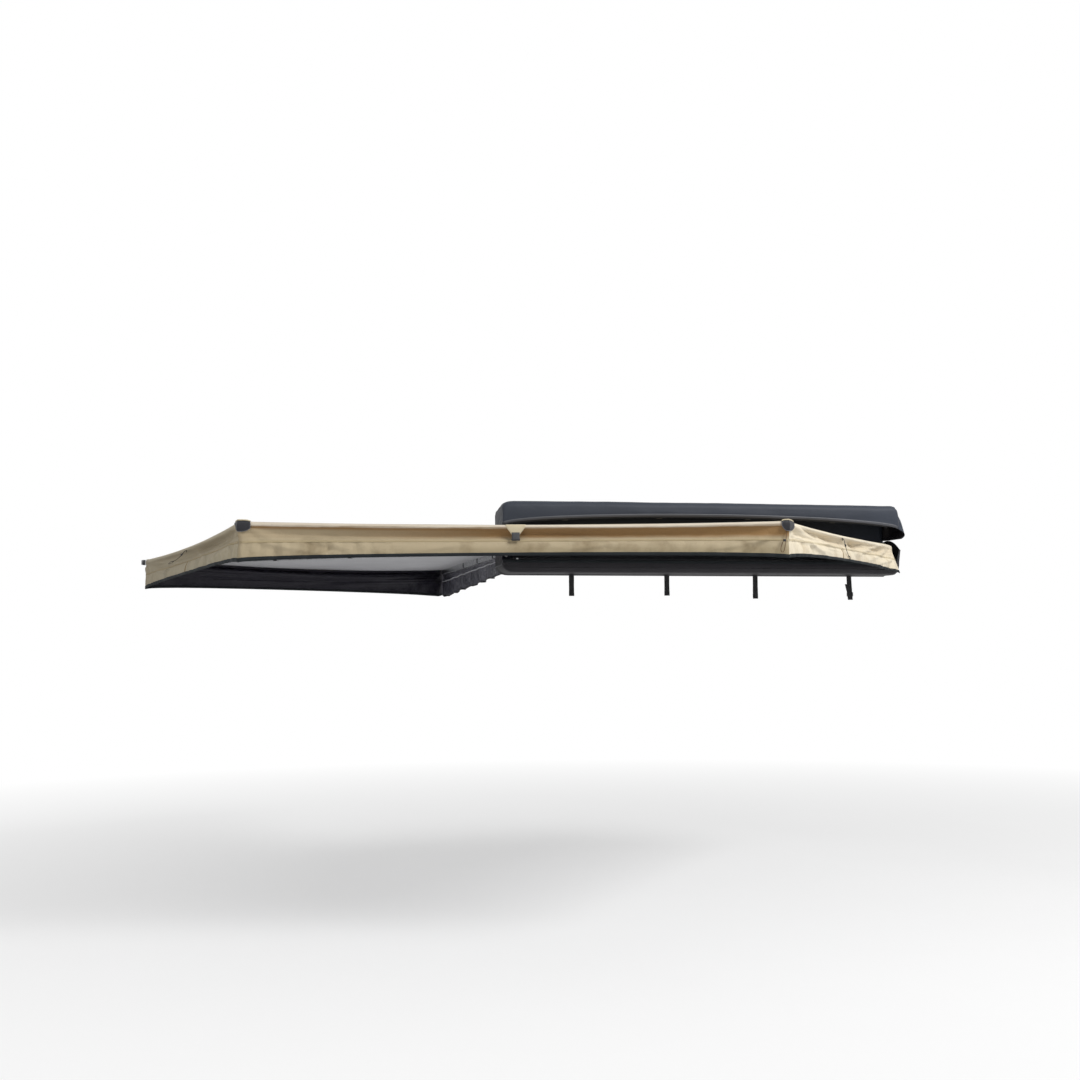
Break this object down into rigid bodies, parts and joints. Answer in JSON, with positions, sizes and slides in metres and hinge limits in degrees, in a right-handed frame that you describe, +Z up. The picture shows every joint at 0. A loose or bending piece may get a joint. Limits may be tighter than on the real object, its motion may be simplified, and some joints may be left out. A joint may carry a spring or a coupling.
{
  "type": "vehicle side awning",
  "caption": "Free-standing wrap-round side awning for a roof rack: hinged arms carry a tan canopy with side skirts over an open clam-shell storage bag.",
  "frame": {"origin": "centre of the middle rack bracket's flat underside", "axes": "+X forward along the case, away from the hub; +Y towards the vehicle; +Z up"},
  "size_m": [4.6628, 4.6246, 0.5805],
  "materials": {
    "mill_aluminium": "extruded, satin",
    "black_anodised": "extruded, black anodised",
    "black_coat": "powder coat",
    "zinc_steel": "zinc plated",
    "black_nylon": "moulded nylon",
    "tan_cloth": "coated ripstop",
    "grey_lining": "coated underside",
    "black_pvc": "PVC-coated cloth",
    "webbing": "woven webbing"
  },
  "bodies": {
    "root": {"back_plate": "black_anodised", "rack_bracket_1": "black_coat", "rack_bracket_2": "black_coat", "rack_bracket_3": "black_coat", "bracket_clamp_1": "zinc_steel", "bracket_clamp_2": "zinc_steel", "bracket_clamp_3": "zinc_steel", "bag_back_panel": "black_pvc", "canopy_rail": "black_anodised", "arm_rest": "black_coat", "hub_bracket": "black_coat", "hub_bolt_1": "zinc_steel", "hub_bolt_2": "zinc_steel", "pivot_pin": "zinc_steel", "pivot_nut": "zinc_steel", "pivot_washer_top": "black_nylon", "pivot_washer_middle": "black_nylon", "pivot_washer_bottom": "black_nylon", "strap_1": "webbing", "strap_2": "webbing", "strap_3": "webbing", "strap_4": "webbing", "strap_buckle": "black_nylon"},
    "lid": {"bag_lid": "black_pvc", "lid_zip_tape": "webbing"},
    "tray": {"bag_tray": "black_pvc", "tray_zip_tape": "webbing"},
    "slider": {"zip_slider": "zinc_steel"},
    "arm_1": {"arm_1_knuckle": "black_coat", "arm_1_tube": "mill_aluminium", "arm_1_rivet": "zinc_steel", "arm_1_cap": "black_nylon", "roof_panel_1": "grey_lining", "skirt_1": "tan_cloth", "corner_cap_1": "black_nylon", "tie_cord_front": "black_nylon", "tie_cord_corner": "black_nylon"},
    "arm_2": {"arm_2_knuckle": "black_coat", "arm_2_tube": "mill_aluminium", "arm_2_rivet": "zinc_steel", "arm_2_cap": "black_nylon", "roof_panel_2": "grey_lining", "skirt_2": "tan_cloth", "corner_cap_2": "black_nylon", "tie_out_tab": "tan_cloth", "tie_out_buckle": "black_nylon"},
    "arm_3": {"arm_3_knuckle": "black_coat", "arm_3_tube": "mill_aluminium", "arm_3_rivet": "zinc_steel", "arm_3_cap": "black_nylon", "roof_panel_3": "grey_lining", "skirt_3": "tan_cloth", "tie_cord_rear": "black_nylon"},
    "arm_4": {"arm_4_knuckle": "black_coat", "arm_4_tube": "mill_aluminium", "arm_4_rivet": "zinc_steel", "arm_4_cap": "black_nylon", "roof_panel_4": "grey_lining", "skirt_4": "tan_cloth", "end_flap": "black_pvc"}
  },
  "joints": [
    {"name": "arm_1_fold", "type": "hinge", "parent": "root", "child": "arm_1", "pos_m": [-1.2, -0.1294, 0.05], "axis": [0, 0, 1], "range_deg": [0, 67], "deforming": ["roof_panel_1", "skirt_1", "tie_cord_front", "tie_cord_corner", "corner_cap_1"]},
    {"name": "arm_2_fold", "type": "hinge", "parent": "arm_1", "child": "arm_2", "pos_m": [-1.2, -0.1294, 0.05], "axis": [0, 0, 1], "range_deg": [0, 63], "deforming": ["roof_panel_2", "skirt_2", "tie_out_tab", "tie_out_buckle", "corner_cap_2"]},
    {"name": "arm_3_fold", "type": "hinge", "parent": "arm_2", "child": "arm_3", "pos_m": [-1.2, -0.1294, 0.05], "axis": [0, 0, 1], "range_deg": [0, 77], "deforming": ["roof_panel_3", "skirt_3", "tie_cord_rear"]},
    {"name": "arm_4_fold", "type": "hinge", "parent": "arm_3", "child": "arm_4", "pos_m": [-1.2, -0.1294, 0.05], "axis": [0, 0, 1], "range_deg": [0, 61], "deforming": ["roof_panel_4", "skirt_4", "end_flap"]},
    {"name": "lid_hinge", "type": "hinge", "parent": "root", "child": "lid", "pos_m": [0, -0.0438, 0.25], "axis": [-1, 0, 0], "range_deg": [-18, 95]},
    {"name": "tray_hinge", "type": "hinge", "parent": "root", "child": "tray", "pos_m": [0, -0.0451, -0.11], "axis": [1, 0, 0], "range_deg": [0, 60]},
    {"name": "zip_slide", "type": "slide", "parent": "tray", "child": "slider", "axis": [1, 0, 0], "range_m": [0, 2.2]}
  ],
  "couplings": [
    {"joint": "arm_2_fold", "follows": "arm_1_fold", "ratio": 0.9402},
    {"joint": "arm_3_fold", "follows": "arm_1_fold", "ratio": 1.1492},
    {"joint": "arm_4_fold", "follows": "arm_1_fold", "ratio": 0.9104}
  ]
}
